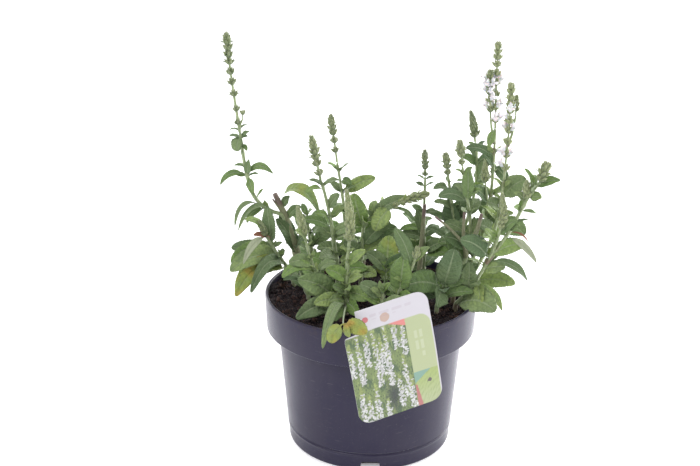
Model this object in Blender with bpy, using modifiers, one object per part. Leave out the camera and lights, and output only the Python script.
"""A white salvia in a round nursery pot.

The pot, the soil, the care label, every leafy stem, every flower spike, the old stumps and the
largest leaves are each one closed solid. The origin is the centre of the pot's flat base, +Z is
up and -Y is the side that the care label hangs on. Lengths are in metres, except in the plant
tables, whose points are millimetres: X and Y from the pot's axis and height above the soil.
"""

import math
from dataclasses import dataclass

import bmesh
import bpy
from mathutils import Matrix, Vector
from mathutils.bvhtree import BVHTree

MM = 0.001
GAP = 0.0003                  # clearance between pieces that touch

# Pot: a thin moulded shell with a collar band, a groove above the foot and four drain notches.
POT_HEIGHT = 0.142
RIM_RADIUS = 0.095
RIM_LIP = 0.003
COLLAR_HEIGHT = 0.032
COLLAR_TAPER = 0.001
COLLAR_STEP = 0.0105
BASE_RADIUS = 0.0743
WALL = 0.0016
FLOOR = 0.0018
GROOVE_HEIGHT = 0.017
GROOVE_DEPTH = 0.0008
GROOVE_HALF = 0.0008          # half of the groove's height
FOOT_INSET = 0.0006           # how far the foot stands back below the groove
FOOT_EDGE = 0.0012            # chamfer around the base
RIM_EDGE = 0.0008             # chamfer along the rim
NOTCH_COUNT = 4
NOTCH_WIDTH = 0.018
NOTCH_HEIGHT = 0.009
NOTCH_DEPTH = 0.010
NOTCH_TAPER = 0.14            # how much narrower a notch is at its top, per side
POT_SEGMENTS = 40

# Soil
SOIL_DROP = 0.006             # from the rim down to the soil
SOCKET_DEPTH = 0.012          # how far a stem goes into the soil
PLANTED_RADIUS = 0.092        # soil radius that the plant tables were laid out for

# Care label: a flat card that hangs on the rim by a short tongue.
LABEL_WIDTH = 0.0767
LABEL_HEIGHT = 0.1048
LABEL_THICKNESS = 0.0008
LABEL_CORNER = 0.011
LABEL_HEADER_HEIGHT = 0.020
LABEL_SHOULDER = 0.013
LABEL_STAND_OFF = 0.0011      # from the rim's edge to the card's back
LABEL_YAW = math.radians(20)
LABEL_ROLL = math.radians(10.6)
LABEL_SIDE = -0.0166          # along the card's own plane, from the pot's axis
LABEL_BELOW_RIM = 0.0206      # from the rim down to the card's centre
TONGUE_WIDTH = 0.024
TONGUE_DROP = 0.004
TONGUE_THICKNESS = 0.001

# Plant
STEM_FOOT_RADIUS = 0.0019
STEM_TIP_RADIUS = 0.0010
LEAF_THICKNESS = 0.0013
LEAF_WIDTH_SHARE = 0.36       # of a leaf's length
LEAF_LOW_RISE = math.radians(12)
LEAF_HIGH_RISE = math.radians(48)
LEAF_ARCH = 0.16              # how far a leaf's middle stands above its chord, per length
SPIKE_RADIUS = 0.0045
SPIKE_TAPER = 0.55            # how much thinner a spike is at its tip
SPIKE_WAIST = 0.45            # thickness between the whorls, as a share of theirs
WHORL_SPACING = 0.011
TURNS = (0, 12, -12, 24, -24, 36, -36, 50, -50, 66, -66, 84, -84, 104, -104, 130, -130)
SHORTENINGS = (1.0, 0.85, 0.7, 0.55, 0.42, 0.3, 0.2)


@dataclass(frozen=True)
class Shoot:
    """One stem: its foot, the points it passes, its leaf pairs and its spike.

    A pair is its height, its direction in degrees and its length.
    """

    name: str
    foot: tuple
    path: tuple
    pairs: tuple = ()
    spike: tuple = ()
    joins: str = ""
    girth: float = 1.0


@dataclass(frozen=True)
class Leaf:
    """One large leaf: the stem it grows on, its height there, its tip, its width and its arch."""

    name: str
    shoot: str
    height: float
    tip: tuple
    width: float
    arch: float = 0.18


SHOOTS = (
    Shoot("left_tall", (-62, 38),
          ((-70, 34, 34), (-79, 30, 64), (-93, 25, 73), (-105, 20, 88), (-111, 15, 113), (-115, 10, 149)),
          pairs=((30, 60, 34), (93, 100, 12), (107, 5, 23), (130, 90, 10), (144, 0, 9)),
          spike=((-121, 8, 200), (-124, 8, 236)), girth=1.2),
    Shoot("left_stub", (), ((-66, 36, 16), (-72, 34, 45), (-79, 31, 68), (-87, 29, 87)), joins="left_tall",
          girth=1.8),
    Shoot("left_low", (-70, 18), ((-75, 19, 18), (-84, 12, 35), (-94, 5, 56)),
          pairs=((12, 300, 30), (30, 80, 24), (42, 0, 20), (52, 95, 15)), spike=((-99, 0, 71),)),
    Shoot("left_front", (-28, -38), ((-30, -38, 12), (-43, -35, 28), (-52, -30, 44), (-58, -26, 66)),
          pairs=((16, 140, 32), (24, 50, 34), (34, 150, 27), (46, 70, 18), (58, 0, 12)),
          spike=((-64, -25, 93),)),
    Shoot("middle_left", (-30, 11), ((-30, 10, 23), (-33, 8, 46), (-37, 5, 75), (-42, 5, 98), (-45, 5, 108)),
          pairs=((18, 150, 38), (32, 60, 36), (50, 140, 30), (70, 40, 24), (101, 0, 14)),
          spike=((-49, 5, 128), (-53, 5, 147))),
    Shoot("middle_back", (-22, 34), ((-23, 32, 41), (-25, 35, 74), (-29, 38, 102), (-31, 39, 114)),
          pairs=((28, 80, 38), (46, 170, 34), (66, 60, 28), (84, 150, 20), (104, 0, 17)),
          spike=((-33, 40, 129), (-37, 40, 157))),
    Shoot("middle_front", (-22, -45), ((-22, -44, 20), (-21, -41, 46), (-20, -38, 62)),
          pairs=((14, 10, 36), (24, 100, 30), (34, 0, 24), (47, 85, 18), (56, 0, 13)),
          spike=((-19, -35, 83), (-22, -30, 110)), girth=1.15),
    Shoot("leaning", (-9, 10), ((-9, 11, 20), (-8, 15, 40), (-6, 18, 62), (7, 20, 73), (18, 20, 78)),
          pairs=((16, 120, 34), (34, 200, 30), (58, 90, 30), (68, 250, 22), (74, 80, 18)),
          spike=((26, 20, 82), (35, 20, 86), (51, 20, 91))),
    Shoot("right_inner", (49, 30), ((49, 30, 25), (48, 30, 64), (48, 30, 104)),
          pairs=((14, 60, 34), (28, 150, 34), (44, 50, 28), (68, 140, 18), (94, 0, 11)),
          spike=((47, 30, 128),), girth=1.2),
    Shoot("right_second", (79, 27), ((80, 25, 30), (77, 20, 56), (71, 15, 86), (67, 12, 110)),
          pairs=((24, 110, 32), (40, 200, 34), (60, 100, 28), (76, 190, 24), (92, 10, 20), (102, 100, 12)),
          spike=((64, 10, 131),)),
    Shoot("right_third", (74, -8), ((80, -4, 22), (86, -3, 50), (86, -6, 76), (80, -9, 108), (77, -10, 126)),
          pairs=((40, 240, 30), (58, 150, 30), (78, 240, 26), (96, 150, 20), (116, 30, 14)),
          spike=((74, -10, 148),)),
    Shoot("right_back", (74, 44), ((79, 44, 29), (89, 44, 59), (95, 44, 89), (95, 45, 118), (93, 45, 132)),
          pairs=((22, 90, 34), (40, 10, 34), (64, 100, 30), (86, 20, 26), (108, 200, 24), (124, 20, 14)),
          spike=((91, 45, 146), (88, 45, 160))),
    Shoot("white_tall", (82, 15), ((89, 18, 19), (98, 22, 44), (106, 25, 79), (108, 25, 116), (108, 25, 150)),
          pairs=((28, 60, 32), (46, 330, 32), (66, 70, 28), (86, 340, 24), (106, 80, 18), (126, 350, 14)),
          spike=((107, 25, 190), (107, 25, 228))),
    Shoot("white_front", (85, 3), ((92, 5, 20), (103, 4, 44), (110, 0, 70), (114, -5, 112)),
          pairs=((36, 330, 30), (54, 240, 26), (72, 320, 24), (90, 60, 20), (104, 330, 14)),
          spike=((116, -5, 160), (116, -5, 199))),
    Shoot("right_front", (75, -24), ((84, -25, 14), (94, -27, 32), (102, -31, 50), (108, -34, 70)),
          pairs=((22, 100, 24), (40, 20, 22), (58, 200, 18), (66, 100, 14)),
          spike=((111, -35, 93), (109, -35, 115))),
    Shoot("far_right", (), ((99, -30, 44), (113, -31, 66), (124, -31, 88), (132, -30, 104), (140, -30, 116)),
          pairs=((74, 300, 20), (90, 60, 20), (108, 5, 22)), spike=((146, -30, 134),), joins="right_front"),
    Shoot("front_bud", (19, -50), ((24, -50, 27), (32, -50, 44), (36, -50, 54)),
          pairs=((10, 40, 26), (20, 130, 22), (34, 30, 14)), spike=((38, -50, 66),)),
    Shoot("front_small", (8, -62), ((8, -61, 14), (9, -61, 30)),
          pairs=((8, 80, 26), (16, 350, 24), (27, 80, 14))),
    Shoot("centre_low", (10, -18), ((12, -19, 18), (13, -19, 36)),
          pairs=((8, 350, 34), (18, 270, 32), (27, 180, 28), (34, 250, 18))),
    Shoot("right_crown", (58, -26), ((61, -27, 10), (63, -29, 24)),
          pairs=((8, 180, 36), (14, 90, 32))),
    Shoot("left_crown", (-56, -8), ((-60, -9, 14), (-64, -8, 34)),
          pairs=((8, 300, 36), (14, 210, 34), (22, 120, 32), (31, 210, 20))),
    Shoot("back_left", (-52, 62), ((-56, 66, 24), (-60, 70, 52)),
          pairs=((8, 130, 40), (20, 40, 38), (32, 130, 32), (42, 30, 26), (50, 120, 18))),
    Shoot("back_middle", (-6, 72), ((-6, 76, 20), (-4, 80, 44)),
          pairs=((8, 90, 40), (16, 0, 36), (28, 90, 32), (36, 0, 26), (42, 90, 18))),
    Shoot("back_right", (38, 68), ((42, 71, 22), (46, 74, 46)),
          pairs=((8, 60, 40), (18, 150, 36), (28, 60, 32), (38, 150, 24), (44, 60, 16))),
    Shoot("old_stump", (44, 22), ((46, 24, 40), (48, 25, 79)), girth=1.5),
)

LEAVES = (
    Leaf("left_broad", "left_low", 20, (-124, -15, 26), 20, 0.25),
    Leaf("left_pale", "left_low", 13, (-119, -24, 15), 16, 0.28),
    Leaf("left_round", "left_low", 27, (-126, 26, 36), 18, 0.12),
    Leaf("left_upright", "left_tall", 22, (-92, 12, 62), 13, 0.1),
    Leaf("left_arching", "left_stub", 80, (-47, 10, 79), 9, 0.35),
    Leaf("front_standing", "left_front", 12, (-63, -56, 39), 19, 0.12),
    Leaf("front_low", "left_front", 6, (-62, -70, 14), 17, 0.16),
    Leaf("over_rim", "middle_front", 10, (-38, -104, 0), 19, 0.34),
    Leaf("centre_lying", "leaning", 44, (23, 24, 58), 12, 0.12),
    Leaf("centre_gold", "centre_low", 22, (14, 6, 54), 14, 0.1),
    Leaf("right_broad", "right_crown", 16, (27, -55, 32), 19, 0.2),
    Leaf("right_upright", "right_crown", 20, (70, -38, 60), 20, 0.1),
    Leaf("right_low", "right_crown", 13, (52, -64, 20), 15, 0.22),
    Leaf("right_rim", "right_front", 15, (108, -47, 10), 21, 0.26),
    Leaf("right_bright", "white_front", 22, (127, -18, 24), 15, 0.2),
    Leaf("right_drooping", "right_front", 44, (137, -38, 32), 14, 0.3),
)

COLOURS = {
    "pot": ((0.078, 0.075, 0.117, 1), 0.35),
    "soil": ((0.018, 0.012, 0.010, 1), 0.95),
    "care_label": ((0.75, 0.78, 0.68, 1), 0.4),
    "stem": ((0.16, 0.24, 0.08, 1), 0.6),
    "leaf": ((0.11, 0.17, 0.065, 1), 0.6),
    "spike": ((0.20, 0.28, 0.12, 1), 0.7),
    "stump": ((0.15, 0.08, 0.045, 1), 0.8),
}


def soil_top():
    """Height of the soil's flat top."""
    return POT_HEIGHT - SOIL_DROP


def wall_radius(height):
    """Outer radius of the pot's tapered body below the collar."""
    top = POT_HEIGHT - COLLAR_HEIGHT
    shoulder = RIM_RADIUS - COLLAR_TAPER - COLLAR_STEP
    return BASE_RADIUS + (shoulder - BASE_RADIUS) * height / top


def planted(point):
    """A point of the plant tables as a place in the pot's frame."""
    spread = (RIM_RADIUS - RIM_LIP) / PLANTED_RADIUS
    return Vector((point[0] * MM * spread, point[1] * MM * spread, soil_top() + point[2] * MM))


def clear_scene():
    """Remove every object, so that the script can be run again."""
    for old in list(bpy.data.objects):
        bpy.data.objects.remove(old)


def collection(name):
    """A new collection under the scene's own."""
    made = bpy.data.collections.new(name)
    bpy.context.scene.collection.children.link(made)
    return made


def finish(kind):
    """The material of one kind of piece, made once."""
    found = bpy.data.materials.get(kind)
    if found:
        return found
    colour, roughness = COLOURS[kind]
    made = bpy.data.materials.new(kind)
    made.use_nodes = True
    shader = made.node_tree.nodes["Principled BSDF"]
    shader.inputs["Base Color"].default_value = colour
    shader.inputs["Roughness"].default_value = roughness
    shader.inputs["Metallic"].default_value = 0.0
    made.diffuse_color = colour
    return made


def add(name, mesh, group, kind=None):
    """A new object in a collection, with its material."""
    made = bpy.data.objects.new(name, mesh)
    group.objects.link(made)
    if kind:
        mesh.materials.append(finish(kind))
    return made


def guide(name, mesh, group):
    """A cutter or a joined piece, which the build leaves out by itself."""
    made = add(name, mesh, group)
    made.hide_render = True
    made.display_type = "WIRE"
    return made


def combine(target, other, operation):
    """Cut or join one object with another."""
    step = target.modifiers.new(other.name, "BOOLEAN")
    step.operation = operation
    step.object = other


def mesh_from(name, build):
    """A mesh that a function fills through bmesh."""
    shape = bmesh.new()
    build(shape)
    mesh = bpy.data.meshes.new(name)
    shape.to_mesh(mesh)
    shape.free()
    return mesh


def turned(name, profile, group, kind):
    """A solid turned about Z from (radius, height) points that start and end on the axis."""
    mesh = bpy.data.meshes.new(name)
    edges = [(i, i + 1) for i in range(len(profile) - 1)]
    mesh.from_pydata([(r, 0, z) for r, z in profile], edges, [])
    made = add(name, mesh, group, kind)
    screw = made.modifiers.new("turn", "SCREW")
    screw.steps = POT_SEGMENTS
    screw.render_steps = POT_SEGMENTS
    screw.use_merge_vertices = True
    screw.merge_threshold = 0.00001
    return made


def notch_cutter(name, grow, reach, group):
    """Four tapered blocks around the base: the drain notches, made larger by grow."""
    def build(shape):
        for index in range(NOTCH_COUNT):
            turn = Matrix.Rotation(2 * math.pi * index / NOTCH_COUNT, 4, "Z")
            size = Matrix.Diagonal((NOTCH_WIDTH + 2 * grow, 2 * reach, 2 * (NOTCH_HEIGHT + grow), 1))
            place = turn @ Matrix.Translation((0, -BASE_RADIUS, 0)) @ size
            block = bmesh.ops.create_cube(shape, size=1, matrix=place)["verts"]
            for vert in block:
                if vert.co.z > 0:
                    side = turn @ Vector((1, 0, 0))
                    vert.co -= side * vert.co.dot(side) * NOTCH_TAPER
    return guide(name, mesh_from(name, build), group)


def make_pot(parts, guides):
    """The pot's shell, from the inside of the floor over the rim and down to the base."""
    top = POT_HEIGHT
    collar = POT_HEIGHT - COLLAR_HEIGHT
    inner_rim = RIM_RADIUS - RIM_LIP
    inner_step = wall_radius(collar) - WALL
    groove = wall_radius(GROOVE_HEIGHT)
    groove_top = GROOVE_HEIGHT + GROOVE_HALF
    groove_low = GROOVE_HEIGHT - GROOVE_HALF
    profile = [
        (0, FLOOR), (wall_radius(FLOOR) - WALL, FLOOR), (inner_step, collar - 0.003),
        (inner_rim - 0.002, collar + 0.002), (inner_rim, top - 0.004), (inner_rim, top - 0.0006),
        (inner_rim + RIM_EDGE, top), (RIM_RADIUS - RIM_EDGE, top), (RIM_RADIUS, top - RIM_EDGE),
        (RIM_RADIUS - COLLAR_TAPER, collar), (wall_radius(collar) + 0.001, collar - 0.001),
        (wall_radius(collar), collar - 0.003), (wall_radius(groove_top), groove_top),
        (groove - GROOVE_DEPTH, GROOVE_HEIGHT + GROOVE_HALF / 2),
        (groove - GROOVE_DEPTH, GROOVE_HEIGHT - GROOVE_HALF / 2),
        (wall_radius(groove_low) - FOOT_INSET, groove_low), (BASE_RADIUS, FOOT_EDGE),
        (BASE_RADIUS - FOOT_EDGE, 0), (0, 0),
    ]
    pot = turned("pot", profile, parts, "pot")
    combine(pot, notch_cutter("pot_notches", 0, NOTCH_DEPTH, guides), "DIFFERENCE")
    return pot


def make_soil(parts, guides, feet):
    """The soil block, with a socket for every stem and a hollow behind every drain notch."""
    collar = POT_HEIGHT - COLLAR_HEIGHT
    wall = WALL + GAP
    inner_rim = RIM_RADIUS - RIM_LIP - GAP
    floor = FLOOR + GAP
    profile = [
        (0, soil_top()), (inner_rim, soil_top()), (inner_rim - 0.002, collar + 0.002 + GAP),
        (wall_radius(collar) - wall, collar - 0.003), (wall_radius(floor) - wall, floor), (0, floor),
    ]
    soil = turned("soil", profile, parts, "soil")
    combine(soil, notch_cutter("soil_notches", GAP, NOTCH_DEPTH + GAP, guides), "DIFFERENCE")

    def build(shape):
        for place, radius in feet:
            hole = (radius + GAP) / math.cos(math.pi / 8) + GAP / 2
            move = Matrix.Translation((place.x, place.y, soil_top()))
            bmesh.ops.create_cone(shape, cap_ends=True, segments=8, radius1=hole, radius2=hole,
                                  depth=2 * SOCKET_DEPTH, matrix=move)
    combine(soil, guide("stem_sockets", mesh_from("stem_sockets", build), guides), "DIFFERENCE")
    return soil


def label_outline():
    """The card's outline: three round corners and a narrower header with a shoulder."""
    right, left = LABEL_WIDTH / 2, -LABEL_WIDTH / 2
    high, low = LABEL_HEIGHT / 2, -LABEL_HEIGHT / 2
    shoulder = high - LABEL_HEADER_HEIGHT
    points = [(left + LABEL_SHOULDER, high)]
    corners = ((right, high, 90), (right, low, 0), (left, low, -90))
    for x, z, start in corners:
        centre_x = x - math.copysign(LABEL_CORNER, x)
        centre_z = z - math.copysign(LABEL_CORNER, z)
        for step in range(5):
            angle = math.radians(start - 22.5 * step)
            x_out = LABEL_CORNER * math.cos(angle)
            z_out = LABEL_CORNER * math.sin(angle)
            points.append((centre_x + x_out, centre_z + z_out))
    points += [(left, shoulder - 0.004), (left + 0.004, shoulder), (left + LABEL_SHOULDER, shoulder)]
    return points


def make_label(parts, guides):
    """The card, with a tongue that reaches over the rim and holds it there."""
    flat = bpy.data.curves.new("label_outline", "CURVE")
    flat.dimensions = "2D"
    flat.fill_mode = "BOTH"
    flat.extrude = LABEL_THICKNESS / 2
    spline = flat.splines.new("POLY")
    outline = label_outline()
    spline.points.add(len(outline) - 1)
    for point, (x, z) in zip(spline.points, outline):
        point.co = (x, z, 0, 1)
    spline.use_cyclic_u = True
    yaw = Matrix.Rotation(LABEL_YAW, 4, "Z")
    distance = RIM_RADIUS + LABEL_STAND_OFF + LABEL_THICKNESS / 2
    centre = Matrix.Translation((LABEL_SIDE, -distance, POT_HEIGHT - LABEL_BELOW_RIM))
    roll = Matrix.Rotation(-LABEL_ROLL, 4, "Y")
    stand = Matrix.Rotation(math.pi / 2, 4, "X")
    label = solid_from_curve("care_label", flat, yaw @ centre @ roll @ stand, parts, "care_label")
    back = -distance
    inside_of_rim = math.sqrt((RIM_RADIUS - RIM_LIP - GAP) ** 2 - (TONGUE_WIDTH / 2) ** 2)
    inner = -inside_of_rim + TONGUE_THICKNESS + GAP

    def build(shape):
        top = POT_HEIGHT + GAP
        bridge = (TONGUE_WIDTH, inner - back, TONGUE_THICKNESS, 1)
        place = Matrix.Translation((0, (inner + back) / 2, top + TONGUE_THICKNESS / 2))
        bmesh.ops.create_cube(shape, size=1, matrix=yaw @ place @ Matrix.Diagonal(bridge))
    combine(label, guide("label_bridge", mesh_from("label_bridge", build), guides), "UNION")

    def build_tongue(shape):
        height = TONGUE_DROP + TONGUE_THICKNESS / 2
        top = POT_HEIGHT + GAP + TONGUE_THICKNESS / 2
        tongue = (TONGUE_WIDTH - 2 * GAP, TONGUE_THICKNESS, height, 1)
        place = Matrix.Translation((0, inner - TONGUE_THICKNESS / 2 - GAP / 2, top - height / 2))
        bmesh.ops.create_cube(shape, size=1, matrix=yaw @ place @ Matrix.Diagonal(tongue))
    combine(label, guide("label_tongue", mesh_from("label_tongue", build_tongue), guides), "UNION")
    return label


def solid_from_curve(name, curve, place, group, kind):
    """A curve object turned into one closed mesh object."""
    drawn = bpy.data.objects.new(name + "_curve", curve)
    drawn.matrix_world = place
    bpy.context.scene.collection.objects.link(drawn)
    bpy.context.view_layer.update()
    evaluated = drawn.evaluated_get(bpy.context.evaluated_depsgraph_get())
    mesh = bpy.data.meshes.new_from_object(evaluated)
    shape = bmesh.new()
    shape.from_mesh(mesh)
    bmesh.ops.remove_doubles(shape, verts=shape.verts, dist=0.000001)
    bmesh.ops.transform(shape, matrix=place, verts=shape.verts)
    bmesh.ops.recalc_face_normals(shape, faces=shape.faces)
    shape.to_mesh(mesh)
    shape.free()
    mesh.name = name
    mesh.materials.clear()
    bpy.data.objects.remove(drawn)
    if kind is None:
        return guide(name, mesh, group)
    return add(name, mesh, group, kind)


def tube(name, points, radii, sides_step, group, kind):
    """A tube through points, with its own radius at each."""
    curve = bpy.data.curves.new(name, "CURVE")
    curve.dimensions = "3D"
    curve.bevel_depth = 1.0
    curve.bevel_resolution = sides_step
    curve.use_fill_caps = True
    spline = curve.splines.new("POLY")
    spline.points.add(len(points) - 1)
    for point, place, radius in zip(spline.points, points, radii):
        point.co = (*place, 1)
        point.radius = radius
    return solid_from_curve(name, curve, Matrix.Identity(4), group, kind)


def smooth(points, pieces):
    """A smooth line through the points, with each stretch cut into pieces."""
    line = []
    ends = [points[0] * 2 - points[1], *points, points[-1] * 2 - points[-2]]
    for before, start, stop, after in zip(ends, ends[1:], ends[2:], ends[3:]):
        for step in range(pieces):
            t = step / pieces
            slope = stop - before
            bend = 2 * before - 5 * start + 4 * stop - after
            twist = 3 * start - before - 3 * stop + after
            line.append(0.5 * (2 * start + slope * t + bend * t ** 2 + twist * t ** 3))
    line.append(points[-1].copy())
    return line


def at_height(line, height):
    """The place on a line at a height above the soil, given in millimetres."""
    wanted = soil_top() + height * MM
    for low, high in zip(line, line[1:]):
        if low.z <= wanted <= high.z:
            return low.lerp(high, (wanted - low.z) / (high.z - low.z))
    return line[-1].copy() if wanted > line[-1].z else line[0].copy()


def stem_line(shoot):
    """A stem's centre line, straight up out of its socket."""
    line = smooth([planted(point) for point in shoot.path], 2)
    if not shoot.foot:
        return line
    foot = planted((*shoot.foot, 0))
    bottom = foot - Vector((0, 0, SOCKET_DEPTH - GAP))
    first = foot + Vector((0, 0, 0.001))
    return [bottom, first, *smooth([foot + Vector((0, 0, 0.003)), *line[::2]], 2)]


def stem_radii(shoot, count):
    """Radii from a stem's foot to its tip."""
    foot = STEM_FOOT_RADIUS * shoot.girth
    tip = STEM_TIP_RADIUS * shoot.girth
    return [foot + (tip - foot) * index / (count - 1) for index in range(count)]


def spike_solid(shoot, line, group):
    """A flower spike or bud: a tube whose radius swells at every whorl and closes at the tip."""
    start = line[-1] + (line[-1] - line[-2]).normalized() * GAP
    route = smooth([start, *[planted(point) for point in shoot.spike]], 4)
    length = sum((b - a).length for a, b in zip(route, route[1:]))
    swells = max(1, round(length / WHORL_SPACING))
    count = 2 * swells + 1
    points = [at_share(route, index / (count - 1)) for index in range(count)]
    radii = []
    for index in range(count):
        taper = 1.0 - SPIKE_TAPER * index / (count - 1)
        swell = 1.0 if index % 2 else SPIKE_WAIST
        radii.append(SPIKE_RADIUS * taper * swell)
    radii[0] = STEM_TIP_RADIUS
    radii[-1] = STEM_TIP_RADIUS * 0.6
    return tube("spike_" + shoot.name, points, radii, 1, group, "spike")


def at_share(line, share):
    """The place at a share of a line's length."""
    lengths = [(b - a).length for a, b in zip(line, line[1:])]
    left = share * sum(lengths)
    for index, length in enumerate(lengths):
        if left <= length or index == len(lengths) - 1:
            return line[index].lerp(line[index + 1], min(1.0, left / length))
        left -= length
    return line[-1].copy()


def leaf_mesh(name, base, tip, width, arch, grow=0.0, rings=4):
    """A closed, thin, arched leaf blade from base to tip: a flattened and bent ball."""
    chord = tip - base
    length = chord.length
    side = chord.cross(Vector((0, 0, 1))).normalized()
    up = side.cross(chord).normalized()
    half_width = width / 2 + grow
    half_thickness = LEAF_THICKNESS / 2 + grow

    def build(shape):
        bmesh.ops.create_uvsphere(shape, u_segments=4, v_segments=rings, radius=1)
        for vert in shape.verts:
            across, through, along = vert.co.x, vert.co.y, (vert.co.z + 1) / 2
            bow = arch * length * 4 * along * (1 - along)
            lift = through * half_thickness + bow
            vert.co = base + chord * along - side * across * half_width + up * lift
    return mesh_from(name, build)


class Placed:
    """The solids placed so far, which a new leaf has to keep clear of."""

    def __init__(self):
        self.items = []

    def add_mesh(self, owner, mesh):
        """Remember a mesh under its owner's name."""
        places = [vert.co.copy() for vert in mesh.vertices]
        faces = [tuple(face.vertices) for face in mesh.polygons]
        low = Vector((min(p[axis] for p in places) for axis in range(3)))
        high = Vector((max(p[axis] for p in places) for axis in range(3)))
        self.items.append((owner, low, high, BVHTree.FromPolygons(places, faces)))

    def clear(self, mesh, skip):
        """Whether a mesh crosses nothing placed so far, apart from the skipped owners."""
        places = [vert.co.copy() for vert in mesh.vertices]
        faces = [tuple(face.vertices) for face in mesh.polygons]
        low = Vector((min(p[axis] for p in places) for axis in range(3)))
        high = Vector((max(p[axis] for p in places) for axis in range(3)))
        tree = BVHTree.FromPolygons(places, faces)
        for owner, other_low, other_high, other in self.items:
            apart = any(low[axis] > other_high[axis] or high[axis] < other_low[axis] for axis in range(3))
            if owner not in skip and not apart and tree.overlap(other):
                return False
        return True


def fitted_leaf(name, base, chord, width, arch, placed, skip, offset):
    """The first turned or shortened copy of a leaf that keeps clear of everything placed so far."""
    for share in SHORTENINGS:
        for turn in TURNS:
            aim = Matrix.Rotation(math.radians(turn), 3, "Z") @ chord * share
            flat = Vector((aim.x, aim.y, 0)).normalized()
            start = base + flat * offset
            tip = base + aim
            trial = leaf_mesh(name + "_trial", start, tip, width * share, arch, grow=2 * GAP)
            is_clear = placed.clear(trial, skip)
            bpy.data.meshes.remove(trial)
            if is_clear:
                return leaf_mesh(name, start, tip, width * share, arch)
    raise ValueError(f"no clear place for {name}")


def pair_chords(shoot, line, height, direction, length):
    """The chords of a pair's two leaves: opposite each other, and steeper up the stem."""
    reach = max(line[-1].z - soil_top(), 0.03)
    share = min(1.0, height * MM / reach)
    rise = LEAF_LOW_RISE + (LEAF_HIGH_RISE - LEAF_LOW_RISE) * share
    for half_turn in (0, 180):
        angle = math.radians(direction + half_turn)
        flat = Vector((math.cos(angle), math.sin(angle), 0)) * math.cos(rise)
        yield (flat + Vector((0, 0, math.sin(rise)))) * length * MM


def make_plant(parts, guides, placed):
    """All stems, then all spikes, then the large leaves, then the leaf pairs joined to their stems."""
    lines = {shoot.name: stem_line(shoot) for shoot in SHOOTS}
    stems = {}
    for shoot in SHOOTS:
        radii = stem_radii(shoot, len(lines[shoot.name]))
        joined = bool(shoot.joins)
        kind = "stump" if shoot.name.endswith("stump") else "stem"
        name = kind + "_" + shoot.name.replace("_stump", "")
        group = guides if joined else parts
        stem = tube(name, lines[shoot.name], radii, 0, group, None if joined else kind)
        placed.add_mesh(shoot.name, stem.data)
        stems[shoot.name] = stems[shoot.joins] if joined else stem
        if joined:
            combine(stems[shoot.name], stem, "UNION")
    for shoot in SHOOTS:
        if shoot.spike:
            placed.add_mesh("spike_" + shoot.name, spike_solid(shoot, lines[shoot.name], parts).data)
    for leaf in LEAVES:
        place_large_leaf(leaf, lines[leaf.shoot], parts, placed)
    for shoot in SHOOTS:
        place_pairs(shoot, lines[shoot.name], stems[shoot.name], guides, placed)


def place_large_leaf(leaf, line, parts, placed):
    """One large leaf, whose base stops just clear of its stem."""
    base = at_height(line, leaf.height)
    chord = planted(leaf.tip) - base
    name = "leaf_" + leaf.name
    offset = STEM_FOOT_RADIUS * 1.5 + 3 * GAP
    mesh = fitted_leaf(name, base, chord, leaf.width * MM, leaf.arch, placed, (), offset)
    placed.add_mesh(name, mesh)
    add(name, mesh, parts, "leaf")


def place_pairs(shoot, line, stem, guides, placed):
    """A shoot's leaf pairs, joined to its stem."""
    owners = {shoot.name, shoot.joins, *(other.name for other in SHOOTS if other.joins == shoot.name)}
    for number, (height, direction, length) in enumerate(shoot.pairs, start=1):
        base = at_height(line, height)
        for side, chord in zip("ab", pair_chords(shoot, line, height, direction, length)):
            name = f"{shoot.name}_leaf_{number}{side}"
            width = length * MM * LEAF_WIDTH_SHARE
            mesh = fitted_leaf(name, base, chord, width, LEAF_ARCH, placed, owners, GAP)
            placed.add_mesh(name, mesh)
            combine(stem, guide(name, mesh, guides), "UNION")


def remember(placed, made):
    """Add an object's evaluated mesh to what leaves keep clear of."""
    bpy.context.view_layer.update()
    evaluated = made.evaluated_get(bpy.context.evaluated_depsgraph_get())
    mesh = bpy.data.meshes.new_from_object(evaluated)
    placed.add_mesh(made.name, mesh)
    bpy.data.meshes.remove(mesh)


def main():
    """Build the whole potted plant."""
    clear_scene()
    parts = collection("potted_salvia")
    guides = collection("cutters")
    rooted = [shoot for shoot in SHOOTS if shoot.foot]
    feet = [(planted((*shoot.foot, 0)), STEM_FOOT_RADIUS * shoot.girth) for shoot in rooted]
    placed = Placed()
    remember(placed, make_pot(parts, guides))
    remember(placed, make_soil(parts, guides, feet))
    remember(placed, make_label(parts, guides))
    make_plant(parts, guides, placed)


main()
